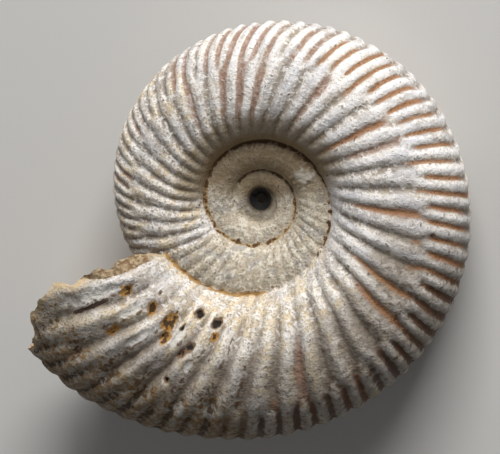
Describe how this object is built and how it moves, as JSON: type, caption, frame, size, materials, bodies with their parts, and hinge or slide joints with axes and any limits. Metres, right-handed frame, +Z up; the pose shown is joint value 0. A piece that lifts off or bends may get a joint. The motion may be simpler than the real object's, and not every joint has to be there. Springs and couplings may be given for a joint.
{
  "type": "fossil ammonite",
  "caption": "Coiled fossil ammonite shell with forking ribs, an open stepped centre and a broken aperture filled with stone.",
  "frame": {"origin": "middle of the bounding box's bottom face, on the surface that the shell lies on", "axes": "+Z up through the thin way of the coil, +X the longer way across the coil, with the broken aperture at the -X, -Y side"},
  "size_m": [0.0226, 0.0214, 0.0089],
  "materials": {
    "fossil_shell": "matt weathered calcite, cream ribs with brown stain in the grooves"
  },
  "bodies": {
    "root": {"ammonite": "fossil_shell"}
  },
  "joints": []
}
